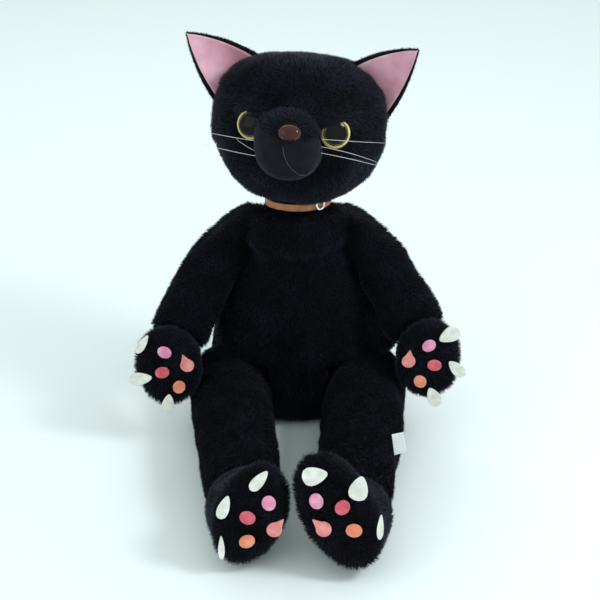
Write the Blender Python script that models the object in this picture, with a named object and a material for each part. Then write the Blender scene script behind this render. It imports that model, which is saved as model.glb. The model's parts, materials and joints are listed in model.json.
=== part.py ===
"""Seated plush cat: sewn and stuffed sub-parts, safety eyes and nose, felt claws and pads.

Metres, +Z up. The cat sits on the floor plane Z = 0 and faces -Y, with its legs stretched out
forward. Its own left side is +X. The origin is on the flat seat, under the neck.
"""

import math

import bmesh
import bpy
from mathutils import Euler, Matrix, Vector

MM = 0.001
GAP = 0.4 * MM  # clearance between neighbouring soft pieces
SKIN = 2.5 * MM  # thickness of the plush cloth with its backing
FELT = 1.8 * MM
SIDES = {"left": 1, "right": -1}

# Driving dimensions
NECK = Vector((0, -4 * MM, 207 * MM))
NECK_RADIUS = 26 * MM
HEAD_CENTRE = Vector((1 * MM, -18 * MM, 270 * MM))
HEAD_TURN = Euler((math.radians(-18), math.radians(4), math.radians(-6.5)))
SHOULDER = Vector((52 * MM, 0, 179 * MM))
SHOULDER_RADIUS = 18.5 * MM
HIP = Vector((63 * MM, -40 * MM, 34 * MM))
HIP_RADIUS = 34 * MM
LEG_RADIUS = 33 * MM
LEG_TAPER = (1, 1, 1, 0.97, 0.91, 0.85, 0.82)
WRIST = {
    "left": Vector((114 * MM, -64 * MM, 84 * MM)),
    "right": Vector((-112.5 * MM, -72 * MM, 82 * MM)),
}
WRIST_RADIUS = 28 * MM
ANKLE = {
    "left": Vector((42.5 * MM, -243 * MM, 33 * MM)),
    "right": Vector((-41 * MM, -232 * MM, 33.3 * MM)),
}
ANKLE_RADIUS = 33 * MM
EYE_RADIUS = 12.5 * MM
EYE_SPACING = 68 * MM
EYE_RISE = 3.5 * MM
NOSE_RISE = 0.5 * MM
SHANK_RADIUS = 2.5 * MM
WASHER_RADIUS = 9 * MM
WASHER_THICKNESS = 1.6 * MM


def clear_scene():
    """Start from an empty scene."""
    for obj in list(bpy.data.objects):
        bpy.data.objects.remove(obj, do_unlink=True)


def material(name, colour, roughness, metallic=0.0):
    """A plain Principled material."""
    made = bpy.data.materials.new(name)
    made.use_nodes = True
    shader = made.node_tree.nodes["Principled BSDF"]
    shader.inputs["Base Color"].default_value = (*colour, 1)
    shader.inputs["Roughness"].default_value = roughness
    shader.inputs["Metallic"].default_value = metallic
    return made


def add_object(name, bm, finish, parent=None):
    """Turn a bmesh into a named object under its parent."""
    bmesh.ops.recalc_face_normals(bm, faces=bm.faces)
    mesh = bpy.data.meshes.new(name)
    bm.to_mesh(mesh)
    bm.free()
    mesh.shade_smooth()
    mesh.set_sharp_from_angle(angle=math.radians(40))
    mesh.materials.append(finish)
    obj = bpy.data.objects.new(name, mesh)
    bpy.context.collection.objects.link(obj)
    obj.parent = parent
    return obj


def empty(name, place, turn=None, parent=None):
    """An empty on a joint, which carries the pieces that move about it."""
    made = bpy.data.objects.new(name, None)
    bpy.context.collection.objects.link(made)
    made.location = place
    made.rotation_euler = turn or Euler()
    made.parent = parent
    return made


def mirrored(point, side):
    """A place given for the left side, on either side."""
    return Vector((point.x * side, point.y, point.z))


def superellipse(centre, across, up, power, count):
    """Points round a rounded outline spanned by two half-axis vectors."""
    points = []
    for step in range(count):
        angle = 2 * math.pi * (step + 0.5) / count
        c, s = math.cos(angle), math.sin(angle)
        a = math.copysign(abs(c) ** (2 / power), c)
        b = math.copysign(abs(s) ** (2 / power), s)
        points.append(centre + across * a + up * b)
    return points


def loft(rings):
    """A closed skin through a list of rings that all have the same number of points."""
    bm = bmesh.new()
    rows = [[bm.verts.new(point) for point in ring] for ring in rings]
    count = len(rows[0])
    for low, high in zip(rows, rows[1:]):
        for i in range(count):
            j = (i + 1) % count
            bm.faces.new((low[i], low[j], high[j], high[i]))
    bm.faces.new(reversed(rows[0]))
    bm.faces.new(rows[-1])
    return bm


def stacked(levels, power, count):
    """A body of level outlines: height, half width, half depth and shift in Y, in mm."""
    rings = []
    for height, width, depth, shift in levels:
        centre = Vector((0, shift * MM, height * MM))
        across, along = Vector((width * MM, 0, 0)), Vector((0, depth * MM, 0))
        rings.append(superellipse(centre, across, along, power, count))
    return loft(rings)


def tube(path, radii, count):
    """A round limb along a path, with one radius for each point."""
    rings = []
    whole = path[-1] - path[0]
    upright = abs(whole.z) > abs(whole.y)
    reference = Vector((0, 1, 0)) if upright else Vector((0, 0, 1))
    for i, point in enumerate(path):
        before, after = path[max(i - 1, 0)], path[min(i + 1, len(path) - 1)]
        along = (after - before).normalized()
        across = along.cross(reference).normalized()
        up = across.cross(along)
        rings.append(superellipse(point, across * radii[i], up * radii[i], 2, count))
    return loft(rings)


def sphere(centre, radius, count=20):
    """A ball."""
    bm = bmesh.new()
    bmesh.ops.create_uvsphere(
        bm, u_segments=count, v_segments=count // 2 + 2, radius=radius, matrix=Matrix.Translation(centre)
    )
    return bm


def cylinder(start, axis, radius, length, count=20):
    """A closed cylinder from a point along an axis."""
    bm = bmesh.new()
    axis = axis.normalized()
    middle = start + axis * (length / 2)
    place = Matrix.Translation(middle) @ axis.to_track_quat("Z", "Y").to_matrix().to_4x4()
    bmesh.ops.create_cone(
        bm, cap_ends=True, segments=count, radius1=radius, radius2=radius, depth=length, matrix=place
    )
    return bm


def turned(profile, start, axis, count=20):
    """A solid of revolution: profile of (distance along the axis, radius) pairs."""
    axis = axis.normalized()
    across = axis.orthogonal().normalized()
    up = axis.cross(across)
    rings = [superellipse(start + axis * d, across * r, up * r, 2, count) for d, r in profile]
    return loft(rings)


def ring_solid(centre, axis, inner, outer, thickness, count=24):
    """A flat ring, such as a washer or a band, centred on its axis."""
    axis = axis.normalized()
    across = axis.orthogonal().normalized()
    up = axis.cross(across)
    half = axis * (thickness / 2)
    corners = ((inner, -half), (outer, -half), (outer, half), (inner, half))
    bm = bmesh.new()
    rows = []
    for radius, offset in corners:
        points = superellipse(centre + offset, across * radius, up * radius, 2, count)
        rows.append([bm.verts.new(point) for point in points])
    for k, row in enumerate(rows):
        following = rows[(k + 1) % len(rows)]
        for i in range(count):
            j = (i + 1) % count
            bm.faces.new((row[i], row[j], following[j], following[i]))
    return bm


def plate(outline, thickness):
    """A flat sheet piece: an outline extruded along +Y from Y = 0."""
    bm = bmesh.new()
    front = [bm.verts.new((x, 0, z)) for x, z in outline]
    back = [bm.verts.new((x, thickness, z)) for x, z in outline]
    bm.faces.new(front)
    bm.faces.new(reversed(back))
    for i in range(len(front)):
        j = (i + 1) % len(front)
        bm.faces.new((front[i], back[i], back[j], front[j]))
    return bm


def cutter(name, bm, parent=None):
    """A hidden solid that only cuts."""
    obj = add_object(name, bm, finishes["black_plush"], parent)
    obj.hide_render = True
    obj.display_type = "WIRE"
    return obj


def cut(obj, tool):
    """Take the tool's solid away from the object."""
    made = obj.modifiers.new("cut_" + tool.name, "BOOLEAN")
    made.operation = "DIFFERENCE"
    made.object = tool


def hollow(obj):
    """Leave only a skin of cloth."""
    made = obj.modifiers.new("skin", "SOLIDIFY")
    made.thickness = SKIN
    made.offset = -1


def shrink(obj, distance):
    """Draw the whole surface inwards."""
    made = obj.modifiers.new("shrink", "DISPLACE")
    made.mid_level = 0
    made.strength = -distance


# ------------------------------------------------------------------ torso

# height, half width, half depth, shift in Y, all in mm
TORSO_LEVELS = (
    (0, 52, 42, 0),
    (6, 65, 53, 0),
    (20, 74, 60, 0),
    (42, 78, 63, 0),
    (68, 76, 62, 0),
    (95, 72, 58, 0),
    (112, 65, 54, 0),
    (134, 52, 48, 0),
    (160, 39, 40, 0),
    (178, 31, 34, -2),
    (190, 26, 28, -4),
    (201, 21, 23, -4),
)
BODY_SIDES = 24


def box(low, high):
    """A closed box between two corners."""
    bm = bmesh.new()
    bmesh.ops.create_cube(bm, size=1)
    for vert in bm.verts:
        vert.co = Vector([b if c > 0 else a for a, b, c in zip(low, high, vert.co)])
    return bm


LEG_LIFT = math.radians(9)  # how far the thighs can rise under the belly
NOTCH_INNER = 23 * MM  # half the width of the belly between the thighs


def hip_notch(side):
    """The space that the top of a leg turns in, open to the front and below."""
    reach = HIP_RADIUS + 1 * MM
    start = Vector((side * NOTCH_INNER, HIP.y, HIP.z))
    return cylinder(start, Vector((side, 0, 0)), reach, 87 * MM, 32)


def make_torso():
    """Torso skin with neck and hip openings, and the stuffing in it."""
    neck_cut = cutter("neck_cutter", sphere(NECK, NECK_RADIUS + GAP, 24))
    notches = []
    for name, side in SIDES.items():
        notches.append(cutter("hip_cutter_" + name, hip_notch(side)))
        ends = sorted((NOTCH_INNER * side, 110 * MM * side))
        under = box((ends[0], -76 * MM, -5 * MM), (ends[1], -5 * MM, HIP.z))
        notches.append(cutter("thigh_cutter_" + name, under))
        along = Vector((0, -math.cos(LEG_LIFT), math.sin(LEG_LIFT)))
        thigh = cylinder(mirrored(HIP, side), along, LEG_RADIUS + 4 * MM, 80 * MM, 32)
        notches.append(cutter("lift_cutter_" + name, thigh))
    skin = add_object("torso_plush", stacked(TORSO_LEVELS, 2.2, BODY_SIDES), finishes["black_plush"])
    hollow(skin)
    filling = add_object("torso_stuffing", stacked(TORSO_LEVELS, 2.2, BODY_SIDES), finishes["stuffing"])
    shrink(filling, SKIN + 2 * GAP)
    for tool in (neck_cut, *notches):
        cut(skin, tool)
        cut(filling, tool)


def make_neck():
    """The soft neck, and the collar with its buckle round it."""
    add_object("neck_plush", sphere(NECK, NECK_RADIUS, 20), finishes["black_plush"])
    centre = Vector((0, -4 * MM, 195.5 * MM))
    add_object("collar", ring_solid(centre, Vector((0, 0, 1)), 29.5 * MM, 31.5 * MM, 7 * MM), finishes["tan_leather"])
    buckle_place = centre + Vector((21 * MM, -26.5 * MM, 2 * MM))
    buckle = ring_solid(buckle_place, Vector((0.62, -0.78, 0)), 3.4 * MM, 5.4 * MM, 1.6 * MM, 16)
    add_object("collar_buckle", buckle, finishes["silver"])


# ------------------------------------------------------------------ head

HEAD_LEVELS = (
    (-66, 19, 23, 0),
    (-62, 31, 35, 0),
    (-52, 46, 46, 0),
    (-34, 62, 56, 0),
    (-8, 74, 60, 0),
    (18, 76, 60, 0),
    (38, 70, 56, 0),
    (52, 56, 46, 0),
    (59, 40, 33, 0),
    (62, 22, 19, 0),
)


def surface_point(obj, x, z):
    """The point and normal on the front of an object above a place in its own X, Z plane."""
    bpy.context.view_layer.update()
    found, spot, normal, _ = obj.ray_cast(Vector((x, -1, z)), Vector((0, 1, 0)))
    if not found:
        raise ValueError("no surface there")
    return spot, normal


def make_eye(name, spot, normal, head, cutters):
    """A plastic safety eye: domed face and ring in one piece with its shank, and its lock washer."""
    front = spot + normal * GAP
    shank = SHANK_RADIUS
    profile = (
        (-13 * MM, shank * 0.8),
        (-12 * MM, shank),
        (0, shank),
        (0.01 * MM, EYE_RADIUS),
        (1.6 * MM, EYE_RADIUS),
        (3.6 * MM, EYE_RADIUS * 0.84),
        (5.2 * MM, EYE_RADIUS * 0.55),
        (5.9 * MM, EYE_RADIUS * 0.2),
    )
    add_object("eye_" + name, turned(profile, front, normal), finishes["eye"], head)
    seat = spot - normal * (SKIN + 2.4 * MM)
    washer = ring_solid(seat, normal, shank + GAP, WASHER_RADIUS, WASHER_THICKNESS)
    add_object("eye_washer_" + name, washer, finishes["white_plastic"], head)
    bore = cylinder(spot + normal * 3 * MM, -normal, shank + GAP, 20 * MM)
    pocket = cylinder(spot + normal * 3 * MM, -normal, WASHER_RADIUS + GAP, 9.4 * MM)
    bed = cylinder(front + normal * 12 * MM, -normal, EYE_RADIUS + GAP, 12 * MM + GAP)
    cutters.append(cutter("eye_bed_bore_" + name, bed, head))
    cutters.append(cutter("eye_bore_" + name, bore, head))
    cutters.append(cutter("eye_pocket_" + name, pocket, head))


def muzzle_levels():
    """Outlines of the muzzle from the face forward: distance, half width, half height, rise."""
    return ((40, 29, 30, -11), (64, 28, 30, -11), (72, 26, 27, -10.5), (79, 20, 20, -9.5), (82.5, 12, 11, -8))


def make_muzzle(head, clearance, eye_beds):
    """Velour muzzle with the nose, whose shank is locked by a washer in the stuffing."""
    rings = []
    for forward, width, height, rise in muzzle_levels():
        centre = Vector((0, -forward * MM, rise * MM))
        rings.append(superellipse(centre, Vector((width * MM, 0, 0)), Vector((0, 0, height * MM)), 2.1, 20))
    muzzle = add_object("muzzle", loft(rings), finishes["black_velour"], head)
    spot, normal = surface_point(muzzle, 0, NOSE_RISE)
    normal = Vector((0, -1, 0.15)).normalized()
    front = spot + normal * 2.2 * MM
    shank = SHANK_RADIUS
    profile = (
        (-14 * MM, shank),
        (0, shank),
        (0.01 * MM, 8 * MM),
        (2 * MM, 9 * MM),
        (5 * MM, 7 * MM),
        (6.6 * MM, 3.4 * MM),
    )
    nose = turned(profile, front, normal)
    bmesh.ops.scale(nose, vec=(1.05, 1, 0.8), space=Matrix.Translation(-front), verts=nose.verts)
    add_object("nose", nose, finishes["nose"], head)
    washer_centre = front - normal * 10 * MM
    washer = ring_solid(washer_centre, normal, shank * 1.05 + GAP, 7 * MM, WASHER_THICKNESS)
    add_object("nose_washer", washer, finishes["white_plastic"], head)
    bore = cutter("nose_bore", cylinder(front + normal * 5 * MM, -normal, shank * 1.05 + GAP, 22 * MM), head)
    pocket_start = washer_centre + normal * (WASHER_THICKNESS / 2 + GAP)
    pocket = cutter("nose_pocket", cylinder(pocket_start, -normal, 7 * MM + GAP, WASHER_THICKNESS + 2 * GAP), head)
    for tool in (clearance, bore, pocket, *eye_beds):
        cut(muzzle, tool)


EAR_BASE_OUT = Vector((70, -2, 16)) * MM
EAR_BASE_IN = Vector((37, -8, 56)) * MM
EAR_TIP = Vector((95, -26, 75)) * MM
EAR_CUP = 9 * MM


def ear_sheet(side, offset, inset):
    """A cupped triangle from the base up to the tip, as an open grid."""
    bm = bmesh.new()
    rows, columns = 7, 6
    middle = (EAR_BASE_OUT + EAR_BASE_IN) / 2
    grid = []
    for i in range(rows + 1):
        u = i / rows * (0.97 - inset)
        half = (EAR_BASE_IN - EAR_BASE_OUT) / 2 * ((1 - u) ** 0.85) * (1 - inset)
        centre = middle.lerp(EAR_TIP, u)
        row = []
        for j in range(columns + 1):
            v = 2 * j / columns - 1
            point = centre + half * v
            point.y += EAR_CUP * (1 - v * v) * (1 - u) + offset
            point.x *= side
            row.append(bm.verts.new(point))
        grid.append(row)
    for i in range(rows):
        for j in range(columns):
            corners = [grid[i][j], grid[i][j + 1], grid[i + 1][j + 1], grid[i + 1][j]]
            bm.faces.new(corners if side > 0 else reversed(corners))
    return bm


def make_ear(name, side, head, clearance):
    """Plush ear back with a satin lining sewn into its front."""
    for piece, offset, thickness, inset, finish in (
        ("ear_", 2 * MM, 4 * MM, 0, "black_plush"),
        ("ear_lining_", 0, 1.4 * MM, 0.06, "pink_satin"),
    ):
        ear = add_object(piece + name, ear_sheet(side, offset, inset), finishes[finish], head)
        wall = ear.modifiers.new("thickness", "SOLIDIFY")
        wall.thickness = thickness
        wall.offset = 1
        cut(ear, clearance)


def make_head():
    """Head skin, stuffing, muzzle, nose, eyes and ears, all carried by the head's empty."""
    head = empty("head_frame", HEAD_CENTRE, HEAD_TURN)
    skin = add_object("head_plush", stacked(HEAD_LEVELS, 2.3, BODY_SIDES), finishes["black_plush"], head)
    filling = add_object("head_stuffing", stacked(HEAD_LEVELS, 2.3, BODY_SIDES), finishes["stuffing"], head)
    clearance = cutter("head_clearance", stacked(HEAD_LEVELS, 2.3, BODY_SIDES), head)
    shrink(clearance, -GAP)
    cutters = []
    for name, side in SIDES.items():
        spot, normal = surface_point(skin, side * EYE_SPACING / 2, EYE_RISE)
        normal = (normal + Vector((0, -0.6, 0))).normalized()
        make_eye(name, spot, normal, head, cutters)
    hollow(skin)
    shrink(filling, SKIN + 2 * GAP)
    neck_cut = cutter("head_neck_cutter", sphere(NECK, NECK_RADIUS + GAP, 24))
    cut(skin, neck_cut)
    cut(filling, neck_cut)
    for tool in cutters:
        if "bore" in tool.name:
            cut(skin, tool)
        cut(filling, tool)
    make_muzzle(head, clearance, [tool for tool in cutters if "bed" in tool.name])
    for name, side in SIDES.items():
        make_ear(name, side, head, clearance)


# ------------------------------------------------------------------ paws

TOE_ANGLES = (-52, 0, 52)
CLAW_ANGLES = (-47, 0, 47)
PALM_SHIFT = 18 * MM
TOE_REACH = 23 * MM
CLAW_REACH = 43 * MM
CLAW_LENGTH = 20 * MM
# where the point of each palm pad points in the plane of the sole, in degrees
PALM_POINT = {("hand", "left"): 85, ("hand", "right"): 110, ("foot", "left"): 112, ("foot", "right"): 70}
# where the rounded end of each claw points in the plane of the sole, in degrees, and its width in mm
CLAW_HANG = {
    ("hand", "left"): ((-65, 12), (-45, 11), (32, 14)),
    ("hand", "right"): ((262, 11), (187, 12), (238, 7)),
    ("foot", "left"): ((240, 5), (230, 14), (167, 14)),
    ("foot", "right"): ((290, 5), (270, 9), (250, 9)),
}


def petal(length, width, count=14):
    """Outline of a felt claw: a petal with a narrow sewn end and a broad rounded end at +Z."""
    points = []
    for step in range(count):
        angle = 2 * math.pi * step / count
        taper = 1 + 0.38 * math.sin(angle)
        points.append((width / 2 * math.cos(angle) * taper, length / 2 * math.sin(angle)))
    return points


def flame(radius, count=24):
    """Outline of the palm pad: a round patch with one point, at +Z."""
    points = []
    for step in range(count):
        angle = 2 * math.pi * step / count
        spike = math.exp(-(((angle - math.pi / 2) / 0.26) ** 2))
        reach = radius * (1 + 0.9 * spike)
        points.append((reach * math.cos(angle), reach * math.sin(angle)))
    return points


def felt(name, outline, finish, paw, spot, turn):
    """A flat felt piece on the sole of a paw, turned in the sole's plane."""
    piece = add_object(name, plate(outline, FELT), finishes[finish], paw)
    piece.location = Vector((spot.x, -FELT - GAP, spot.y))
    piece.rotation_euler = Euler((0, turn, 0))


def add_felt(kind, name, paw, toes, mirror, centre):
    """Palm pad, toe pads and claws on a sole whose toes point along an angle in its plane."""
    toe_colours = ("pad_rose", "pad_red", "pad_pink")
    direction = Vector((math.cos(toes), math.sin(toes)))
    palm = centre - direction * PALM_SHIFT
    turn = math.radians(90 - PALM_POINT[kind, name])
    felt(f"{kind}_palm_pad_{name}", flame(6 * MM), "pad_salmon", paw, palm, turn)
    for number, (toe, claw, colour) in enumerate(zip(TOE_ANGLES, CLAW_ANGLES, toe_colours), 1):
        angle = toes + math.radians(toe) * mirror
        spot = palm + Vector((math.cos(angle), math.sin(angle))) * TOE_REACH
        outline = [(x * 5.6 * MM, z * 6.4 * MM) for x, z in unit_circle(12)]
        felt(f"{kind}_toe_pad_{number}_{name}", outline, colour, paw, spot, math.pi / 2 - angle)
        angle = toes + math.radians(claw) * mirror
        spot = palm + Vector((math.cos(angle), math.sin(angle))) * CLAW_REACH
        pointing, width = CLAW_HANG[kind, name][number - 1]
        outline = petal(CLAW_LENGTH, width * MM)
        felt(f"{kind}_claw_{number}_{name}", outline, "white_felt", paw, spot, math.radians(90 - pointing))


def unit_circle(count):
    """Points round a circle of radius one."""
    return [(math.cos(2 * math.pi * i / count), math.sin(2 * math.pi * i / count)) for i in range(count)]


def paw_body(half_width, half_height, rise, depth, ball):
    """A paw: a flat oval sole at Y = 0 that rounds back into a ball, centred at Y = depth."""
    rings = []
    front = ((0, 0.80), (2.2, 0.92), (7, 1.0), (13, 0.99))
    for back, scale in front:
        centre = Vector((0, back * MM, rise))
        rings.append(superellipse(centre, Vector((half_width * scale, 0, 0)), Vector((0, 0, half_height * scale)), 2, 22))
    for step in range(6):
        angle = math.radians(-12 + 18.5 * step)
        centre = Vector((0, depth + ball * math.sin(angle), 0))
        radius = ball * math.cos(angle)
        rings.append(superellipse(centre, Vector((radius, 0, 0)), Vector((0, 0, radius)), 2, 22))
    return loft(rings)


# ------------------------------------------------------------------ limbs

ARM_START = Vector((53, -1, 176)) * MM
ARM_BEND = Vector((81, -10, 140)) * MM
ARM_RADII = (19, 20, 21.5, 23, 24, 24)
FOOT_DEPTH = 36 * MM
HAND_DEPTH = 22 * MM
FOOT_TILT = {"left": math.radians(-15), "right": math.radians(-9)}
FOOT_ROLL = {"left": math.radians(-28), "right": math.radians(20)}
FOOT_HALF_HEIGHT = {"left": 52 * MM, "right": 45 * MM}
FOOT_HALF_WIDTH = {"left": 30.5 * MM, "right": 29 * MM}
FOOT_RISE = {"left": 18 * MM, "right": 10 * MM}
SOLE_CENTRE = {"left": Vector((2.3, 20.3)) * MM, "right": Vector((2.2, 10.3)) * MM}
TOES = {
    ("hand", "left"): math.radians(-10),
    ("hand", "right"): math.radians(198),
    ("foot", "left"): math.radians(25),
    ("foot", "right"): math.radians(172),
}


def make_arm(name, side):
    """Shoulder, arm and hand on one side."""
    shoulder = mirrored(SHOULDER, side)
    wrist = WRIST[name]
    add_object("shoulder_" + name, sphere(shoulder, SHOULDER_RADIUS), finishes["black_plush"])
    start, bend = mirrored(ARM_START, side), mirrored(ARM_BEND, side)
    path = []
    for step in range(len(ARM_RADII)):
        t = step / (len(ARM_RADII) - 1)
        path.append(start.lerp(bend, t).lerp(bend.lerp(wrist, t), t))
    arm = add_object("arm_" + name, tube(path, [r * MM for r in ARM_RADII], 18), finishes["black_plush"])
    palm_room = box((wrist.x - 60 * MM, -0.2, 0), (wrist.x + 60 * MM, wrist.y - HAND_DEPTH + 17 * MM, 0.2))
    cut(arm, cutter("palm_cutter_" + name, palm_room))
    cut(arm, cutter("shoulder_cutter_" + name, sphere(shoulder, SHOULDER_RADIUS + GAP, 24)))
    cut(arm, cutter("wrist_cutter_" + name, sphere(wrist, WRIST_RADIUS + 2.5 * MM, 24)))
    hand = empty("hand_frame_" + name, wrist - Vector((0, HAND_DEPTH, 0)))
    body = paw_body(30 * MM, 40 * MM, -3 * MM, HAND_DEPTH, WRIST_RADIUS)
    add_object("hand_" + name, body, finishes["black_plush"], hand)
    add_felt("hand", name, hand, TOES["hand", name], side, Vector((0, -3 * MM)))


def make_leg(name, side):
    """Hip, leg and foot on one side."""
    hip = mirrored(HIP, side)
    ankle = ANKLE[name]
    add_object("hip_" + name, sphere(hip, HIP_RADIUS), finishes["black_plush"])
    path = [hip.lerp(ankle, step / 6) for step in range(7)]
    radii = [LEG_RADIUS * taper for taper in LEG_TAPER]
    leg = add_object("leg_" + name, tube(path, radii, 20), finishes["black_plush"])
    cut(leg, cutter("leg_top_cutter_" + name, sphere(hip, HIP_RADIUS + GAP, 28)))
    cut(leg, cutter("ankle_cutter_" + name, sphere(ankle, ANKLE_RADIUS + 1.5 * MM, 28)))
    ankle_frame = empty("foot_frame_" + name, ankle, Euler((FOOT_TILT[name], FOOT_ROLL[name], 0)))
    foot = empty("sole_frame_" + name, Vector((0, -FOOT_DEPTH, 0)), parent=ankle_frame)
    body = paw_body(FOOT_HALF_WIDTH[name], FOOT_HALF_HEIGHT[name], FOOT_RISE[name], FOOT_DEPTH, ANKLE_RADIUS)
    add_object("foot_" + name, body, finishes["black_plush"], foot)
    add_felt("foot", name, foot, TOES["foot", name], side, SOLE_CENTRE[name])


def make_label():
    """A blank folded label sewn into the outer seam of the left leg."""
    outline = [(0, 0), (10 * MM, 1.5 * MM), (10 * MM, 21 * MM), (0, 20 * MM)]
    label = add_object("label", plate(outline, 1.2 * MM), finishes["white_label"])
    label.location = Vector((78, -170, 49)) * MM
    label.rotation_euler = Euler((0, math.radians(-8), 0))


def make_tail():
    """A slim tail that lies on the floor behind the seat."""
    radius = 12 * MM
    path = []
    for step in range(9):
        t = step / 8
        path.append(Vector((18 * MM * math.sin(2.6 * t), 64 * MM + 150 * MM * t, radius)))
    radii = [radius] * 8 + [radius * 0.55]
    add_object("tail", tube(path, radii, 12), finishes["black_plush"])


clear_scene()
finishes = {
    "black_plush": material("black_plush", (0.012, 0.013, 0.02), 0.95),
    "black_velour": material("black_velour", (0.015, 0.016, 0.025), 0.8),
    "stuffing": material("stuffing", (0.85, 0.85, 0.83), 0.95),
    "pink_satin": material("pink_satin", (0.85, 0.32, 0.38), 0.4),
    "eye": material("eye", (0.55, 0.42, 0.12), 0.1),
    "nose": material("nose", (0.16, 0.025, 0.02), 0.12),
    "white_plastic": material("white_plastic", (0.8, 0.8, 0.78), 0.5),
    "tan_leather": material("tan_leather", (0.5, 0.17, 0.07), 0.55),
    "silver": material("silver", (0.8, 0.8, 0.8), 0.25, 1.0),
    "white_felt": material("white_felt", (0.85, 0.84, 0.78), 0.9),
    "pad_salmon": material("pad_salmon", (0.85, 0.27, 0.25), 0.9),
    "pad_pink": material("pad_pink", (0.82, 0.25, 0.4), 0.9),
    "pad_red": material("pad_red", (0.75, 0.08, 0.1), 0.9),
    "pad_rose": material("pad_rose", (0.85, 0.2, 0.12), 0.9),
    "white_label": material("white_label", (0.85, 0.85, 0.85), 0.7),
}
make_torso()
make_neck()
make_head()
for side_name, side_sign in SIDES.items():
    make_arm(side_name, side_sign)
    make_leg(side_name, side_sign)
make_label()
make_tail()
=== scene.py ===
import json
import math

import bpy
import numpy as np
from mathutils import Euler, Matrix, Vector

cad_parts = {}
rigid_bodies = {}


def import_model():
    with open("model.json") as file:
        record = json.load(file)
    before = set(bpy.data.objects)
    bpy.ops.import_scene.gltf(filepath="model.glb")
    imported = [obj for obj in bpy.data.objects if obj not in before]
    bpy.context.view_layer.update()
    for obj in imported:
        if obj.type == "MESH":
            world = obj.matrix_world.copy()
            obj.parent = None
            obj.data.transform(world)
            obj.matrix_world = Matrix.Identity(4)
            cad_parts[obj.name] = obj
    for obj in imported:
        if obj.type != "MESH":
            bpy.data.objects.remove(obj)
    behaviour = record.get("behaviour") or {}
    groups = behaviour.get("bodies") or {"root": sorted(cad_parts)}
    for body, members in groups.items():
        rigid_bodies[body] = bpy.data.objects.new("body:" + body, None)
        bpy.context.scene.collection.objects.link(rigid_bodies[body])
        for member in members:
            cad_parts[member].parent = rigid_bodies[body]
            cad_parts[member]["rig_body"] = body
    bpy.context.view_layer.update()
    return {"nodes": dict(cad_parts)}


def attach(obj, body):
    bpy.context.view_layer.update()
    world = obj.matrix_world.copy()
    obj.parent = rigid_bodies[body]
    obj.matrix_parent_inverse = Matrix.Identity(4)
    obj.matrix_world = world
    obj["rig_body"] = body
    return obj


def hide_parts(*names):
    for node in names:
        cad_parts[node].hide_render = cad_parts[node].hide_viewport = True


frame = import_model()
MM = 0.001
SIDES = ("left", "right")

# ---- Camera: a long lens, a little above the toy, looking straight at its chest.
VIEW_TARGET = Vector((2, -60, 130)) * MM
VIEW_DROP = math.radians(27)
VIEW_DISTANCE = 1150 * MM
SENSOR = 36
LENS = 79.2

lens = bpy.data.cameras.new("camera")
lens.sensor_width = SENSOR
lens.lens = LENS
lens.clip_start = 0.02
camera = bpy.data.objects.new("camera", lens)
camera.location = VIEW_TARGET + VIEW_DISTANCE * Vector((0, -math.cos(VIEW_DROP), math.sin(VIEW_DROP)))
camera.rotation_euler = (math.pi / 2 - VIEW_DROP, 0, 0)
bpy.context.collection.objects.link(camera)
bpy.context.scene.camera = camera

# ---- Studio: a pale floor, pale air all round, a large window of light at the right and a fill.
bpy.context.scene.view_settings.view_transform = "Standard"
world = bpy.data.worlds.new("studio")
world.use_nodes = True
world.node_tree.nodes["Background"].inputs["Color"].default_value = (0.83, 0.945, 0.94, 1)
world.node_tree.nodes["Background"].inputs["Strength"].default_value = 1.0
bpy.context.scene.world = world


def simple_finish(name, colour, roughness, metallic=0.0):
    """A Principled material and its shader node."""
    made = bpy.data.materials.new(name)
    made.use_nodes = True
    shader = made.node_tree.nodes["Principled BSDF"]
    shader.inputs["Base Color"].default_value = (*colour, 1)
    shader.inputs["Roughness"].default_value = roughness
    shader.inputs["Metallic"].default_value = metallic
    return made, shader


bpy.ops.object.select_all(action="DESELECT")
bpy.ops.mesh.primitive_plane_add(size=8, location=(0, 0, -1.2 * MM))
floor = bpy.context.object
floor.name = "studio_floor"
floor.data.materials.append(simple_finish("floor_paint", (0.82, 0.875, 0.87), 0.9)[0])


def area_light(name, place, size, power, colour):
    """A soft square light that faces the toy's chest."""
    light = bpy.data.lights.new(name, "AREA")
    light.size = size
    light.energy = power
    light.color = colour
    lamp = bpy.data.objects.new(name, light)
    lamp.location = place
    lamp.rotation_euler = (Vector(place) - VIEW_TARGET).to_track_quat("Z", "Y").to_euler()
    bpy.context.collection.objects.link(lamp)


area_light("window", (0.85, -0.45, 1.0), 0.3, 7, (0.93, 0.97, 1.0))
area_light("fill", (-0.9, -0.9, 0.8), 0.9, 2, (0.95, 0.98, 1.0))
area_light("rim", (-0.2, 0.9, 1.1), 0.9, 2, (1.0, 1.0, 1.0))

# ---- Plush: knitted backing with a dense black pile about 5 mm long, combed flat.
# The backing is a closed skin just outside the sewn shape, and the pile is many closed tapered tufts.
# A skin's depth is how far it is drawn in from the sewn shape, so a negative depth lies outside it.
PILE_LENGTH = 5.4 * MM
SKIN_DEPTH = -0.6 * MM
TUFT_WIDTH = 0.42 * MM
ROOT_DEPTH = 0.6 * MM
FULL_PILE = 900000
# The two lighter shades, laid in soft random blotches, are partly the pile's own tone and partly painted
# sheen.
PILE_SHADES = (
    ("pile_black", (0.0012, 0.0012, 0.002), 0.6),
    ("pile_soft_black", (0.0022, 0.0025, 0.0045), 0.55),
    ("pile_blue_black", (0.0045, 0.005, 0.01), 0.5),
    ("pile_slate_tone_and_painted_sheen", (0.011, 0.013, 0.025), 0.45),
)


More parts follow.
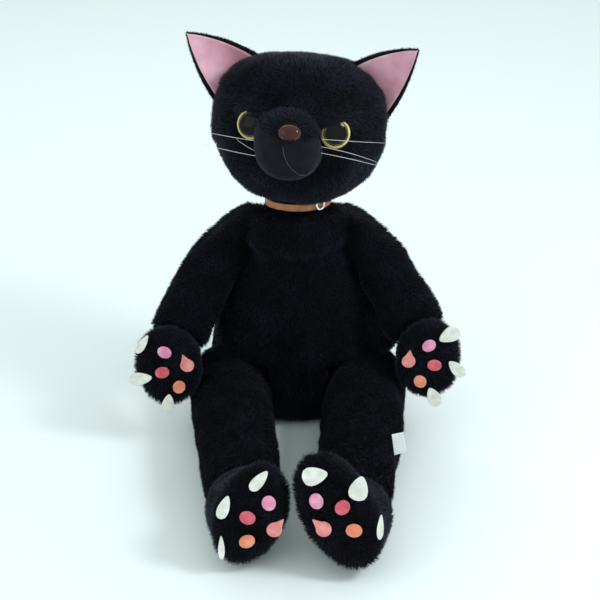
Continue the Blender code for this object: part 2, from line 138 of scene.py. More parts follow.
def noise_group(name, scale, detail, low, high):
    """A node group that gives a mask of soft blotches and a height, from Object coordinates."""
    group = bpy.data.node_groups.new(name, "ShaderNodeTree")
    group.interface.new_socket("Scale", in_out="INPUT", socket_type="NodeSocketFloat").default_value = scale
    group.interface.new_socket("Mask", in_out="OUTPUT", socket_type="NodeSocketFloat")
    start = group.nodes.new("NodeGroupInput")
    end = group.nodes.new("NodeGroupOutput")
    place = group.nodes.new("ShaderNodeTexCoord")
    noise = group.nodes.new("ShaderNodeTexNoise")
    noise.inputs["Detail"].default_value = detail
    ramp = group.nodes.new("ShaderNodeMapRange")
    ramp.inputs["From Min"].default_value = low
    ramp.inputs["From Max"].default_value = high
    group.links.new(place.outputs["Object"], noise.inputs["Vector"])
    group.links.new(start.outputs["Scale"], noise.inputs["Scale"])
    group.links.new(noise.outputs["Fac"], ramp.inputs["Value"])
    group.links.new(ramp.outputs["Result"], end.inputs["Mask"])
    return group


BLOTCHES = noise_group("cloth_blotches", 60, 3, 0.35, 0.7)
GRAIN = noise_group("cloth_grain", 900, 4, 0.25, 0.75)


def mottled(name, dark, light, roughness, blotch_scale, grain_scale, bump, bump_depth=0.0006):
    """A cloth or moulding whose colour drifts between two tones, with a fine raised grain."""
    made, shader = simple_finish(name, dark, roughness)
    tree = made.node_tree
    patches = tree.nodes.new("ShaderNodeGroup")
    patches.node_tree = BLOTCHES
    patches.inputs["Scale"].default_value = blotch_scale
    tone = tree.nodes.new("ShaderNodeMix")
    tone.data_type = "RGBA"
    tone.inputs["A"].default_value = (*dark, 1)
    tone.inputs["B"].default_value = (*light, 1)
    grain = tree.nodes.new("ShaderNodeGroup")
    grain.node_tree = GRAIN
    grain.inputs["Scale"].default_value = grain_scale
    raised = tree.nodes.new("ShaderNodeBump")
    raised.inputs["Strength"].default_value = bump
    raised.inputs["Distance"].default_value = bump_depth
    tree.links.new(patches.outputs["Mask"], tone.inputs["Factor"])
    tree.links.new(tone.outputs["Result"], shader.inputs["Base Color"])
    tree.links.new(grain.outputs["Mask"], raised.inputs["Height"])
    tree.links.new(raised.outputs["Normal"], shader.inputs["Normal"])
    return made, shader


plush_backing, backing_shader = mottled(
    "plush_backing", (0.002, 0.002, 0.004), (0.006, 0.007, 0.012), 0.9, 70, 1100, 0.9
)
backing_shader.inputs["Specular IOR Level"].default_value = 0.1
backing_shader.inputs["Sheen Weight"].default_value = 0.03
backing_shader.inputs["Sheen Tint"].default_value = (0.6, 0.68, 0.9, 1)

pile_finishes = []
for shade_name, shade_colour, shade_roughness in PILE_SHADES:
    shade, shade_shader = simple_finish(shade_name, shade_colour, shade_roughness)
    shade_shader.inputs["Sheen Weight"].default_value = 0.05
    shade_shader.inputs["Sheen Roughness"].default_value = 0.4
    shade_shader.inputs["Sheen Tint"].default_value = (0.55, 0.65, 1.0, 1)
    shade_shader.inputs["Specular IOR Level"].default_value = 0.12
    pile_finishes.append(shade)


def copy_nodes(name, *nodes):
    """One new mesh object from copies of CAD solids, with each solid's triangles welded."""
    bpy.ops.object.select_all(action="DESELECT")
    for node in nodes:
        twin = frame["nodes"][node].copy()
        twin.data = twin.data.copy()
        twin.parent = None
        for key in list(twin.keys()):
            del twin[key]
        bpy.context.collection.objects.link(twin)
        twin.hide_viewport = twin.hide_render = False
        twin.hide_set(False)
        twin.select_set(True)
        bpy.context.view_layer.objects.active = twin
    if len(nodes) > 1:
        bpy.ops.object.join()
    made = bpy.context.view_layer.objects.active
    made.name = name
    made.data.name = name
    made.data.materials.clear()
    bpy.ops.object.mode_set(mode="EDIT")
    bpy.ops.mesh.select_all(action="SELECT")
    bpy.ops.mesh.remove_doubles(threshold=0.00002)
    bpy.ops.object.mode_set(mode="OBJECT")
    return made


def apply_all(obj):
    """Apply every modifier on an object."""
    bpy.ops.object.select_all(action="DESELECT")
    obj.select_set(True)
    bpy.context.view_layer.objects.active = obj
    for made in list(obj.modifiers):
        bpy.ops.object.modifier_apply(modifier=made.name)


def remeshed(obj, voxel, smooth, inset=0.0, smoothing=0.5):
    """Wrap an object in one even skin, soften it and draw it in by a distance."""
    made = obj.modifiers.new("wrap", "REMESH")
    made.mode = "VOXEL"
    made.voxel_size = voxel
    made.use_smooth_shade = True
    if smooth:
        soft = obj.modifiers.new("soften", "SMOOTH")
        soft.iterations = smooth
        soft.factor = smoothing
    if inset:
        draw_in = obj.modifiers.new("draw_in", "DISPLACE")
        draw_in.mid_level = 0
        draw_in.strength = -inset
    apply_all(obj)
    obj.data.shade_smooth()


def waves(points, size, seed):
    """A smooth random field over points, from -1 to 1, with features of about a given size."""
    rng = np.random.default_rng(seed)
    field = np.zeros(len(points))
    for _ in range(6):
        way = rng.normal(size=3)
        way /= np.linalg.norm(way) * size * rng.uniform(0.7, 1.4)
        field += np.sin(2 * math.pi * points @ way + rng.uniform(0, 2 * math.pi))
    return field / 3


def vertex_array(obj):
    """An object's vertices as an array."""
    out = np.empty(len(obj.data.vertices) * 3)
    obj.data.vertices.foreach_get("co", out)
    return out.reshape(-1, 3)


def set_vertices(obj, points):
    """Put an array back into an object's vertices."""
    obj.data.vertices.foreach_set("co", points.ravel())
    obj.data.update()


def lumpy(obj, height, size, seed):
    """Raise and sink a skin a little, as loose stuffing does."""
    points = vertex_array(obj)
    normals = np.empty(len(points) * 3)
    obj.data.vertices.foreach_get("normal", normals)
    normals = normals.reshape(-1, 3)
    set_vertices(obj, points + normals * (waves(points, size, seed) * height)[:, None])


def sample_skin(obj, per_square_metre, rng):
    """Random places on a skin with their normals."""
    mesh = obj.data
    mesh.calc_loop_triangles()
    corners = np.empty(len(mesh.loop_triangles) * 3, dtype=np.int64)
    mesh.loop_triangles.foreach_get("vertices", corners)
    corners = corners.reshape(-1, 3)
    points = vertex_array(obj)
    normals = np.empty(len(points) * 3)
    mesh.vertices.foreach_get("normal", normals)
    normals = normals.reshape(-1, 3)
    a, b, c = (points[corners[:, k]] for k in range(3))
    areas = np.linalg.norm(np.cross(b - a, c - a), axis=1) / 2
    count = int(areas.sum() * per_square_metre)
    chosen = rng.choice(len(areas), size=count, p=areas / areas.sum())
    u, v = rng.random(count), rng.random(count)
    flip = u + v > 1
    u[flip], v[flip] = 1 - u[flip], 1 - v[flip]
    w = 1 - u - v
    first, second, third = corners[chosen].T
    u, v, w = u[:, None], v[:, None], w[:, None]
    spots = points[first] * w + points[second] * u + points[third] * v
    ways = normals[first] * w + normals[second] * u + normals[third] * v
    return spots, ways / np.linalg.norm(ways, axis=1)[:, None]


def unit(rows):
    """Each row made one long."""
    return rows / np.maximum(np.linalg.norm(rows, axis=1), 1e-9)[:, None]


PILE_DENSITY = FULL_PILE


def grow_pile(name, skin, nap, seed, length=PILE_LENGTH, width=TUFT_WIDTH, lean=1.3, density=1.0, keep=None):
    """Closed tapered tufts rooted in a skin. nap gives the combing direction for places and normals."""
    rng = np.random.default_rng(seed)
    roots, normals = sample_skin(skin, PILE_DENSITY * density, rng)
    if keep is not None:
        wanted = keep(roots, normals)
        roots, normals = roots[wanted], normals[wanted]
    count = len(roots)
    comb = nap(roots, normals)
    comb = unit(comb - normals * (comb * normals).sum(1)[:, None])
    across = np.cross(normals, comb)
    swirl = waves(roots, 30 * MM, seed + 1) * 0.6 + rng.normal(0, 0.25, count)
    comb = comb * np.cos(swirl)[:, None] + across * np.sin(swirl)[:, None]
    slant = lean * (1 + 0.25 * waves(roots, 14 * MM, seed + 2)) + rng.normal(0, 0.18, count)
    size = length * (1 + 0.08 * waves(roots, 9 * MM, seed + 3)) * rng.uniform(0.75, 1.1, count)
    way = unit(normals + comb * slant[:, None])
    tips = roots + way * size[:, None]
    roots = roots - normals * ROOT_DEPTH
    side = unit(np.cross(way, rng.normal(size=(count, 3))))
    other = np.cross(way, side)
    thick = width * rng.uniform(0.7, 1.3, count)
    corners = []
    for turn in (0, 2 * math.pi / 3, 4 * math.pi / 3):
        spread = side * math.cos(turn) + other * math.sin(turn)
        corners.append(roots + spread * thick[:, None])
    points = np.stack([*corners, tips], axis=1).reshape(-1, 3)
    triangles = ((2, 1, 0), (0, 1, 3), (1, 2, 3), (2, 0, 3))
    faces = ((np.arange(count) * 4)[:, None, None] + np.array(triangles)[None]).reshape(-1, 3)
    mesh = bpy.data.meshes.new(name)
    mesh.vertices.add(len(points))
    mesh.vertices.foreach_set("co", points.ravel())
    mesh.loops.add(len(faces) * 3)
    mesh.loops.foreach_set("vertex_index", faces.ravel())
    mesh.polygons.add(len(faces))
    mesh.polygons.foreach_set("loop_start", np.arange(len(faces)) * 3)
    # Lighter tufts in soft blotches: partly random pile tone, partly painted sheen.
    tone = 1.0 + 1.0 * waves(roots, 34 * MM, seed + 4) + rng.normal(0, 0.8, count)
    shade_index = np.clip(np.round(tone), 0, len(pile_finishes) - 1).astype(int)
    mesh.polygons.foreach_set("material_index", np.repeat(shade_index, len(triangles)))
    mesh.update(calc_edges=True)
    mesh.shade_smooth()
    for finish in pile_finishes:
        mesh.materials.append(finish)
    made = bpy.data.objects.new(name, mesh)
    bpy.context.collection.objects.link(made)
    return made


def downward(roots, normals):
    """Pile combed towards the floor and a little forward."""
    return np.tile((0.0, -0.3, -1.0), (len(roots), 1))


def outward_from(centre, drop):
    """Pile combed away from a point, with a pull towards the floor."""

    def nap(roots, normals):
        away = unit(roots - np.array(centre))
        return away + np.array((0, 0, -drop))

    return nap


def along(direction):
    """Pile combed in one direction."""

    def nap(roots, normals):
        return np.tile(np.array(direction, float), (len(roots), 1))

    return nap


def slope_shoulders(skin):
    """Lower the tops of the shoulders to the slope of a limp toy's."""
    points = vertex_array(skin)
    out = np.abs(points[:, 0]) / MM
    top = np.where(out < 35, 196, 196 - 0.66 * (out - 35)) * MM
    over = points[:, 2] - top
    points[:, 2] -= np.maximum(over, 0) * 0.92
    set_vertices(skin, points)


def stuffed(
    name, body, nodes, replaced, seed, balls=(), depth=SKIN_DEPTH, smooth=6, lumps=1.2 * MM, voxel=3.5 * MM
):
    """The closed plush skin of a stuffed part, at a depth from the sewn outline. balls are extra padding."""
    skin = copy_nodes(name, *nodes)
    if balls:
        bpy.ops.object.select_all(action="DESELECT")
        for place, radius in balls:
            centre = Vector(place) * MM
            size = radius * MM
            bpy.ops.mesh.primitive_uv_sphere_add(segments=24, ring_count=16, radius=size, location=centre)
            bpy.context.object.select_set(True)
            skin.select_set(True)
            bpy.context.view_layer.objects.active = skin
            bpy.ops.object.join()
    remeshed(skin, voxel, smooth, depth)
    lumpy(skin, lumps, 42 * MM, seed)
    if name.startswith(("torso", "arm", "shoulder")):
        slope_shoulders(skin)
    skin.data.materials.append(plush_backing)
    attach(skin, body)
    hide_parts(*replaced)
    return skin


def furred(skin, body, nap, seed, halves=(None,), **how):
    """Cover a skin with pile, in one or more pieces that ride with it."""
    for number, keep in enumerate(halves, 1):
        suffix = f"_pile_{number}" if len(halves) > 1 else "_pile"
        pile = grow_pile(skin.name + suffix, skin, nap, seed + 10 * number, keep=keep, **how)
        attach(pile, body)


# ---- Torso: a pear-shaped plush bag, sewn to the neck, shoulders and hips and filled with fibre.
def front_left(roots, normals):
    """The pile in front of the shoulders, on the left."""
    return (roots[:, 1] < 0) & (roots[:, 0] >= 0)


def front_right(roots, normals):
    """The pile in front of the shoulders, on the right."""
    return (roots[:, 1] < 0) & (roots[:, 0] < 0)


def back_half(roots, normals):
    """The pile behind the shoulders."""
    return roots[:, 1] >= 0


TORSO_PADDING = [((70, -30, 94), 12), ((62, -14, 118), 9), ((78, -38, 80), 10)]
for turn in range(-70, 71, 20):
    angle = math.radians(turn)
    TORSO_PADDING.append(((34 * math.sin(angle), -4 - 33 * math.cos(angle), 189), 10))
    TORSO_PADDING.append(((34 * math.sin(angle), -4 - 34 * math.cos(angle), 174), 11))
for sign in (-1, 1):
    TORSO_PADDING += [((29 * sign, -2, 182), 13), ((40 * sign, -2, 178), 14), ((50 * sign, -2, 172), 15)]

torso = stuffed(
    "torso_skin",
    "torso",
    ("torso_plush", "torso_stuffing", "hip_left", "hip_right", "shoulder_left", "shoulder_right"),
    ("torso_plush",),
    11,
    balls=TORSO_PADDING,
)
furred(torso, "torso", downward, 12, (front_left, front_right, back_half))

# ---- Stuffing: loose white fibre that fills the torso and the head.
fibre, _ = mottled("fibre_fill", (0.7, 0.7, 0.68), (0.88, 0.88, 0.86), 0.95, 80, 700, 0.9)
for filled_part, fibre_body in (("torso", "torso"), ("head", "head")):
    filling = copy_nodes(f"{filled_part}_fibre", f"{filled_part}_stuffing")
    remeshed(filling, 5 * MM, 6, 9 * MM)
    filling.data.materials.append(fibre)
    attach(filling, fibre_body)
    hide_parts(f"{filled_part}_stuffing")

# ---- Neck, shoulders and hips: gathered plush where the parts are sewn together, each piece riding its own part.
for joint_part, part_body in (
    ("neck", "neck"),
    ("shoulder_left", "shoulder_left"),
    ("shoulder_right", "shoulder_right"),
    ("hip_left", "hip_left"),
    ("hip_right", "hip_right"),
):
    node = "neck_plush" if joint_part == "neck" else joint_part
    ball = stuffed(joint_part + "_skin", part_body, (node,), (node,), 21, lumps=0.4 * MM, depth=1.5 * MM)
    furred(ball, part_body, downward, 22, density=0.5)

# ---- Head: a wide plush cushion with heavy brows and full cheeks, its pile combed from the nose.
HEAD_CENTRE = Vector((1, -18, 270)) * MM
HEAD_TURN = Euler((math.radians(-18), math.radians(4), math.radians(-6.5)))
head_frame = Matrix.Translation(HEAD_CENTRE) @ HEAD_TURN.to_matrix().to_4x4()


def in_head(x, y, z):
    """A place in the head's own millimetres, in the world."""
    return head_frame @ (Vector((x, y, z)) * MM)


HEAD_DEPTH = 2.6 * MM
head_nodes = ("head_plush", "head_stuffing")
head = stuffed("head_skin", "head", head_nodes, ("head_plush",), 31, depth=HEAD_DEPTH, smooth=8)
to_head = np.array(head_frame.inverted())
head_points = vertex_array(head)
local = head_points @ to_head[:3, :3].T + to_head[:3, 3]
flat = local / MM
face = np.clip(-flat[:, 1] / 45, 0, 1) ** 2


def bulge(x, z, wide, high):
    """A soft round swelling on the face, in the head's own millimetres."""
    return np.exp(-(((flat[:, 0] - x) / wide) ** 2) - ((flat[:, 2] - z) / high) ** 2)


swelling = np.zeros(len(flat))
brows = np.zeros(len(flat))
for sign in (-1, 1):
    brow_line = flat[:, 2] - (15 + 0.42 * (np.abs(flat[:, 0]) - 34))
    brow = np.exp(-((brow_line / 6.5) ** 2) - ((flat[:, 0] - sign * 33) / 19) ** 2)
    brows += brow
    swelling += 8.5 * brow
    swelling += 4.0 * bulge(sign * 40, -28, 24, 20)
swelling += 7 * bulge(0, 14, 15, 10)
swelling += 6 * bulge(-20, 8, 8, 9)
push = np.zeros_like(flat)
push[:, 1] = -swelling * face
push[:, 2] = -3 * brows * face + 3.5 * np.clip((flat[:, 2] - 25) / 30, 0, 1) ** 2
push[:, 2] += 0.25 * np.clip(-40 - flat[:, 2], 0, 30)
local = local + push * MM
from_head = np.array(head_frame)
set_vertices(head, local @ from_head[:3, :3].T + from_head[:3, 3])


def clear_of_eyes(roots, normals):
    """Leave the eyes and the muzzle's seat bare."""
    spots = (roots @ to_head[:3, :3].T + to_head[:3, 3]) / MM
    ahead = spots[:, 1] < -30
    near_eye = np.hypot(np.abs(spots[:, 0]) - 34, spots[:, 2] - 2.5) < 12.5
    under_muzzle = np.hypot(spots[:, 0] / 24, (spots[:, 2] + 11) / 26) < 1
    return ~(ahead & (near_eye | under_muzzle))


def head_front(roots, normals):
    """The pile of the face, with bare places for the eyes and the muzzle."""
    return clear_of_eyes(roots, normals) & (roots[:, 1] < HEAD_CENTRE.y - 14 * MM)


def head_back(roots, normals):
    """The pile of the sides and the back of the head."""
    return roots[:, 1] >= HEAD_CENTRE.y - 14 * MM


furred(head, "head", outward_from(in_head(0, -95, 10), 0.5), 32, (head_front, head_back), lean=1.4)

# ---- Arms and hands, legs and feet: limp plush tubes, each with a soft paw at its end.
PAW_DEPTH = 2.4 * MM
PAW_LUMPS = 0.6 * MM


def from_palm(paw, side):
    """Pile combed away from a place just in front of a paw's palm pad."""
    palm = vertex_array(frame["nodes"][f"{paw}_palm_pad_{side}"]).mean(0)
    return outward_from(palm - np.array((0, 60, 0)) * MM, 0.25)


for number, (side, sign) in enumerate(zip(SIDES, (1, -1))):
    name = f"arm_{side}"
    arm = stuffed(name + "_skin", name, (name, f"shoulder_{side}"), (name,), 41)
    furred(arm, f"arm_{side}", along((0.25 * sign, -0.3, -1)), 42 + number)
    name = f"hand_{side}"
    hand = stuffed(name + "_skin", name, (name,), (name,), 51, depth=PAW_DEPTH, lumps=PAW_LUMPS)
    furred(hand, f"hand_{side}", from_palm("hand", side), 52 + number, lean=1.4)
    leg = stuffed(f"leg_{side}_skin", f"leg_{side}", (f"leg_{side}", f"hip_{side}"), (f"leg_{side}",), 61)
    furred(leg, f"leg_{side}", along((0, -1, -0.3)), 62 + number)
    name = f"foot_{side}"
    foot = stuffed(name + "_skin", name, (name,), (name,), 71, depth=PAW_DEPTH, lumps=PAW_LUMPS)
    furred(foot, f"foot_{side}", from_palm("foot", side), 72 + number, lean=1.4)

# ---- Tail: a slim stuffed plush tube that lies behind the seat.
tail = stuffed("tail_skin", "tail", ("tail",), ("tail",), 81, voxel=2.5 * MM, lumps=0.5 * MM)
furred(tail, "tail", along((0.1, 1, -0.3)), 82)

# ---- Muzzle: smooth velour in two panels below the nose, plush above it, with a sewn mouth line.
velour, velour_shader = mottled(
    "black_velour", (0.002, 0.002, 0.0035), (0.006, 0.007, 0.012), 0.75, 90, 1600, 0.5
)
velour_shader.inputs["Specular IOR Level"].default_value = 0.15
velour_shader.inputs["Sheen Weight"].default_value = 0.09
velour_shader.inputs["Sheen Roughness"].default_value = 0.35
velour_shader.inputs["Sheen Tint"].default_value = (0.55, 0.62, 0.9, 1)
muzzle = copy_nodes("muzzle_skin", "muzzle")
remeshed(muzzle, 1.8 * MM, 14, 0.0)


def to_local(points):
    """World places in the head's own millimetres."""
    return (points @ to_head[:3, :3].T + to_head[:3, 3]) / MM


def from_local(points):
    """The head's own millimetres in the world."""
    return (np.asarray(points) * MM) @ from_head[:3, :3].T + from_head[:3, 3]


MOUTH = ((-4.5, -11), (-3, -17), (0.5, -24), (5.5, -29), (10, -32), (15, -32), (20, -27))
mouth_line = []
for (x0, z0), (x1, z1) in zip(MOUTH, MOUTH[1:]):
    for step in range(6):
        mouth_line.append((x0 + (x1 - x0) * step / 6, z0 + (z1 - z0) * step / 6))
mouth_line = np.array(mouth_line)
snout = to_local(vertex_array(muzzle))
gap = np.hypot(snout[:, None, 0] - mouth_line[None, :, 0], snout[:, None, 2] - mouth_line[None, :, 1]).min(1)
ahead = np.clip((-50 - snout[:, 1]) / 12, 0, 1)
snout[:, 1] += 1.6 * np.exp(-((gap / 1.8) ** 2)) * ahead
snout[:, 0] += (-2.2 - 3.5 * np.exp(-(((snout[:, 2] - 4) / 10) ** 2)) * (snout[:, 0] < -5)) * ahead
snout[:, 2] = np.where(snout[:, 2] < -12, -12 + (snout[:, 2] + 12) * 0.92, snout[:, 2])
set_vertices(muzzle, from_local(snout))
muzzle.data.materials.append(velour)
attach(muzzle, "head")
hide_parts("muzzle")


def above_nose(roots, normals):
    """The part of the muzzle that the long pile covers."""
    spots = to_local(roots)
    over_seam = spots[:, 2] > -5 + 0.012 * spots[:, 0] ** 2
    off_nose = np.hypot(spots[:, 0], (spots[:, 2] - 0.5) * 1.3) > 9
    return over_seam & off_nose


furred(muzzle, "head", outward_from(in_head(0, -95, -4), 0.1), 35, (above_nose,), length=5.5 * MM, lean=1.6)


def thread(name, places, radius, finish, body, tip=1.0, smoothness=6):
    """A round strand through places in the world, drawn out at its end to a share of its width."""
    curve = bpy.data.curves.new(name, "CURVE")
    curve.dimensions = "3D"
    curve.bevel_depth = radius
    curve.bevel_resolution = 2
    curve.use_fill_caps = True
    line = curve.splines.new("NURBS")
    line.points.add(len(places) - 1)
    line.order_u = 3
    line.use_endpoint_u = True
    line.resolution_u = smoothness
    for point, place in zip(line.points, places):
        point.co = (*place, 1)
        point.radius = 1
    line.points[-1].radius = tip
    curve.materials.append(finish)
    strand = bpy.data.objects.new(name, curve)
    bpy.context.collection.objects.link(strand)
    bpy.ops.object.select_all(action="DESELECT")
    strand.select_set(True)
    bpy.context.view_layer.objects.active = strand
    bpy.ops.object.convert(target="MESH")
    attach(strand, body)


sewing, _ = mottled("mouth_thread", (0.03, 0.032, 0.045), (0.06, 0.065, 0.09), 0.6, 200, 900, 0.2)
mouth_places = []
for x, z in mouth_line:
    start = Vector(in_head(x, -150, z))
    way = Vector(in_head(x, 0, z)) - start
    hit, place, _, _ = muzzle.ray_cast(start, way.normalized())
    if hit:
        mouth_places.append(place - way.normalized() * 0.15 * MM)
thread("mouth_seam", mouth_places, 0.3 * MM, sewing, "head")

# ---- Nose: a glossy red-brown moulded oval with its shank through the muzzle.
nose_gloss, nose_shader = mottled(
    "nose_gloss", (0.036, 0.006, 0.006), (0.07, 0.013, 0.011), 0.08, 50, 500, 0.05
)
nose_shader.inputs["Specular IOR Level"].default_value = 0.3
nose = copy_nodes("nose_moulding", "nose")
remeshed(nose, 0.6 * MM, 10, 0.0)
nose.data.materials.append(nose_gloss)
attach(nose, "head")
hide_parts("nose")

# ---- Eyes: domed safety eyes, a pale gold ring round a dark amber iris and a wide black pupil.
# The back of the dome is a share of the front's depth. The ring and the iris start at shares of the radius.
EYE_RADIUS = 12.5 * MM
EYE_HEIGHT = 5.9 * MM
EYE_BACK = 0.35
GOLD_FROM = 0.84
IRIS_FROM = 0.7
eye_gold, gold_shader = mottled("eye_gold", (0.5, 0.4, 0.13), (0.68, 0.58, 0.26), 0.25, 200, 900, 0.05)
eye_iris, iris_shader = mottled("eye_iris", (0.03, 0.018, 0.004), (0.16, 0.1, 0.02), 0.15, 120, 900, 0.05)
eye_pupil, pupil_shader = mottled(
    "eye_pupil", (0.003, 0.003, 0.003), (0.006, 0.006, 0.007), 0.08, 50, 500, 0.02
)
for gloss, shine in ((gold_shader, 0.25), (iris_shader, 0.25), (pupil_shader, 0.14)):
    gloss.inputs["Specular IOR Level"].default_value = shine


def turned_axis(node):
    """The axis of a turned CAD solid, pointing forward, and how far its vertices reach along it."""
    points = vertex_array(frame["nodes"][node])
    points = np.unique(np.round(points, 6), axis=0)
    values, ways = np.linalg.eigh(np.cov((points - points.mean(0)).T))
    gaps = [abs(values[1] - values[2]), abs(values[0] - values[2]), abs(values[0] - values[1])]
    axis = ways[:, int(np.argmin(gaps))]
    if axis[1] > 0:
        axis = -axis
    reach = (points - points.mean(0)) @ axis
    return Vector(points.mean(0)), Vector(axis), reach.max()


for side in SIDES:
    middle, axis, reach = turned_axis(f"eye_{side}")
    base = middle + axis * (reach - EYE_HEIGHT)
    bpy.ops.object.select_all(action="DESELECT")
    bpy.ops.mesh.primitive_uv_sphere_add(segments=64, ring_count=48, radius=EYE_RADIUS)
    dome = bpy.context.object
    dome.name = f"eye_{side}_dome"
    for vert in dome.data.vertices:
        vert.co.z *= EYE_HEIGHT / EYE_RADIUS * (EYE_BACK if vert.co.z < 0 else 1)
    for finish in (eye_gold, eye_iris, eye_pupil):
        dome.data.materials.append(finish)
    for polygon in dome.data.polygons:
        away = math.hypot(polygon.center.x, polygon.center.y) / EYE_RADIUS
        if polygon.center.z < 0:
            polygon.material_index = 2
        elif away > GOLD_FROM:
            polygon.material_index = 0
        elif away > IRIS_FROM:
            polygon.material_index = 1
        else:
            polygon.material_index = 2
    dome.data.transform(Matrix.Translation(base) @ axis.to_track_quat("Z", "Y").to_matrix().to_4x4())
    dome.data.update()
    dome.data.shade_smooth()
    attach(dome, "head")
    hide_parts(f"eye_{side}")

# ---- Ears: a plush back and a pink satin front, sewn together along two curved edges and cupped.
EAR_BASE_OUT = np.array((70, -2, 16))
EAR_BASE_IN = np.array((37, -8, 56))
EAR_TIP = {"left": np.array((92.5, -26, 76)), "right": np.array((98.5, -26, 71))}
EAR_ROWS = 22
EAR_COLUMNS = 18
satin, satin_shader = mottled("pink_satin", (0.6, 0.24, 0.32), (0.85, 0.5, 0.6), 0.42, 30, 500, 0.15)
satin_shader.inputs["Sheen Weight"].default_value = 0.4
satin_shader.inputs["Sheen Tint"].default_value = (1.0, 0.85, 0.9, 1)


def ear_sheet(name, side, sign, inset, lift, thickness):
    """One cupped layer of an ear in the world: inset from the edges, lifted forward, with a thickness."""
    tip = EAR_TIP[side]
    places = []
    forward = np.array((0.25, -0.93, 0.1))
    for row in range(EAR_ROWS + 1):
        v = -0.12 + 1.12 * row / EAR_ROWS
        rise = max(v, 0)
        swell = math.sin(math.pi * rise) ** 0.8 if rise > 0 else 0
        outer = EAR_BASE_OUT + (tip - EAR_BASE_OUT) * v + np.array((3.2, 0, -2.4)) * swell
        inner = EAR_BASE_IN + (tip - EAR_BASE_IN) * v + np.array((-1.0, 0, 4.2)) * swell
        room = 1 - v
        for column in range(EAR_COLUMNS + 1):
            u = column / EAR_COLUMNS
            u = inset + (1 - 2 * inset) * u
            cup = max(4 * u * (1 - u), 0) ** 0.75 * 13 * min(room, 1) ** 0.8
            roll = 1.6 * math.exp(-((u / 0.1) ** 2)) + 1.6 * math.exp(-(((1 - u) / 0.1) ** 2))
            place = outer + (inner - outer) * u - forward * (cup + roll * 0.4 - lift)
            place[0] *= sign
            places.append(place)
    width = EAR_COLUMNS + 1
    faces = []
    for row in range(EAR_ROWS):
        for column in range(EAR_COLUMNS):
            first = row * width + column
            face = (first, first + 1, first + width + 1, first + width)
            faces.append(face if sign < 0 else face[::-1])
    mesh = bpy.data.meshes.new(name)
    mesh.from_pydata([tuple(place) for place in from_local(places)], [], faces)
    made = bpy.data.objects.new(name, mesh)
    bpy.context.collection.objects.link(made)
    solid = made.modifiers.new("cloth", "SOLIDIFY")
    solid.thickness = thickness
    solid.offset = -1
    apply_all(made)
    made.data.shade_smooth()
    return made


def ear_back(roots, normals):
    """The back of the ear and its edges."""
    return normals[:, 1] > -0.25


for side, sign in zip(SIDES, (1, -1)):
    ear = ear_sheet(f"ear_{side}_back", side, sign, -0.025, -0.9, 2.2 * MM)
    ear.data.materials.append(plush_backing)
    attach(ear, "head")
    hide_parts(f"ear_{side}")
    ear_nap = along((0.6 * sign, -0.1, 0.8))
    furred(ear, "head", ear_nap, 92, (ear_back,), length=2.2 * MM, density=1.5, width=0.3 * MM)
    lining = ear_sheet(f"ear_{side}_satin", side, sign, 0.035, 0.0, 0.7 * MM)
    lining.data.materials.append(satin)
    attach(lining, "head")
    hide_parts(f"ear_lining_{side}")

# ---- Paws: white felt claws and pink felt pads, sewn flat to the sole of each paw. The pads' different hues are painted light on one pink felt: salmon and rose are painted warm light, red is painted shade.
# Each pad kind gets its own tint of the pink felt. Apart from the pink one, these tints are painted warm
# light or painted shade.
FELTS = {
    "claw": ("white_felt", (0.72, 0.7, 0.62), (0.9, 0.9, 0.86)),
    "palm_pad": ("pad_salmon", (0.75, 0.2, 0.2), (0.9, 0.36, 0.32)),
    "toe_pad_1": ("pad_rose", (0.78, 0.2, 0.1), (0.9, 0.35, 0.22)),
    "toe_pad_2": ("pad_red", (0.62, 0.06, 0.1), (0.8, 0.16, 0.2)),
    "toe_pad_3": ("pad_pink", (0.75, 0.22, 0.4), (0.9, 0.4, 0.55)),
}
for kind, (slot, dark, light) in FELTS.items():
    felt, felt_shader = mottled(slot + "_cloth", dark, light, 0.9, 160, 1500, 0.8)
    felt_shader.inputs["Sheen Weight"].default_value = 0.3
    for node in sorted(frame["nodes"]):
        if f"_{kind}" in node and ("pad" in kind or "claw" in node):
            piece = copy_nodes(node + "_felt", node)
            rounded = piece.modifiers.new("soft_edge", "BEVEL")
            rounded.width = 0.5 * MM
            rounded.segments = 2
            finer = piece.modifiers.new("finer", "SUBSURF")
            finer.levels = finer.render_levels = 1
            apply_all(piece)
            piece.data.shade_smooth()
            piece.data.materials.append(felt)
            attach(piece, frame["nodes"][node]["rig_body"])
            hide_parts(node)

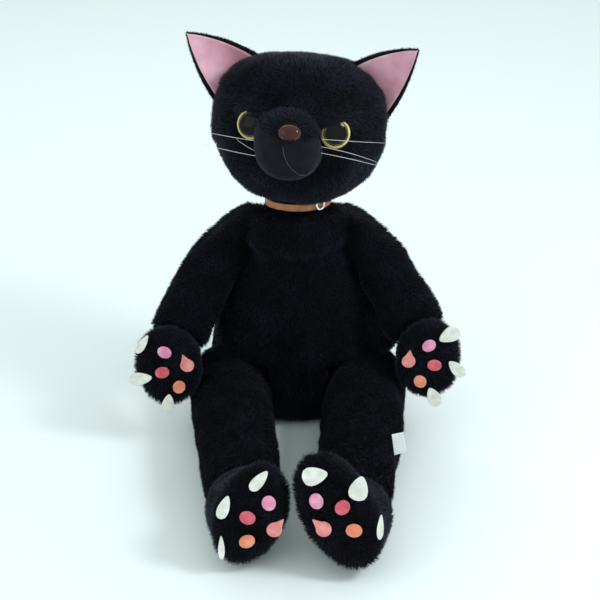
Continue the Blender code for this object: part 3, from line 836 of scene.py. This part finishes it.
# ---- Collar: a narrow tan band with a small silver buckle.
leather, _ = mottled("tan_leather", (0.42, 0.14, 0.05), (0.6, 0.24, 0.1), 0.5, 120, 900, 0.4)
COLLAR_SET = Matrix.Translation(Vector((0, -5, 202)) * MM) @ Matrix.Rotation(math.radians(-7), 4, "X")
COLLAR_SET = COLLAR_SET @ Matrix.Scale(0.93, 4) @ Matrix.Translation(Vector((0, 4, -195.5)) * MM)
collar = copy_nodes("collar_band", "collar")
collar.data.transform(COLLAR_SET)
remeshed(collar, 0.8 * MM, 2, 0.0)
collar.data.materials.append(leather)
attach(collar, "neck")
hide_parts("collar")
silver, silver_shader = mottled("silver_plate", (0.7, 0.7, 0.7), (0.85, 0.85, 0.85), 0.22, 100, 900, 0.05)
silver_shader.inputs["Metallic"].default_value = 1.0
buckle = copy_nodes("collar_ring", "collar_buckle")
buckle.data.transform(COLLAR_SET)
remeshed(buckle, 0.35 * MM, 3, 0.0)
buckle.data.materials.append(silver)
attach(buckle, "neck")
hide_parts("collar_buckle")

# ---- Label: a blank white woven tape, folded and sewn into the seam of the left leg.
LABEL_SHIFT = Vector((1, -11, 0)) * MM
tape, _ = mottled("white_tape", (0.84, 0.86, 0.87), (0.93, 0.93, 0.93), 0.7, 140, 1400, 0.6)
label = copy_nodes("label_tape", "label")
label.data.transform(Matrix.Translation(LABEL_SHIFT))
remeshed(label, 0.5 * MM, 2, 0.0)
label.data.materials.append(tape)
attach(label, "leg_left")
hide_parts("label")

# ---- Whiskers: three pale nylon bristles on each side of the muzzle.
nylon, _ = mottled("white_nylon", (0.5, 0.5, 0.5), (0.7, 0.7, 0.7), 0.3, 100, 900, 0.05)
WHISKERS = {
    "left": (
        ((25, -66, -2), (52, -72, -1), (76, -58, 0)),
        ((25, -66, -8), (52, -70, -10), (70, -58, -16)),
        ((25, -66, -13), (54, -70, -15), (78, -56, -20)),
    ),
    "right": (
        ((-25, -66, -9), (-50, -70, -8), (-74, -58, -6)),
        ((-25, -66, -18), (-36, -70, -14), (-44, -66, -9)),
        ((-25, -66, -21), (-52, -70, -19), (-74, -56, -16)),
    ),
}
for side in SIDES:
    for number, route in enumerate(WHISKERS[side], 1):
        places = [in_head(*place) for place in route]
        thread(f"whisker_{number}_{side}", places, 0.24 * MM, nylon, "head", 0.35, 16)

# ---- Washers: plain plastic discs behind the face that lock the eyes and the nose.
washer_plastic, _ = mottled("washer_plastic", (0.72, 0.72, 0.7), (0.82, 0.82, 0.8), 0.5, 90, 900, 0.1)
for node in ("eye_washer_left", "eye_washer_right", "nose_washer"):
    for slot_place in frame["nodes"][node].material_slots:
        slot_place.material = washer_plastic
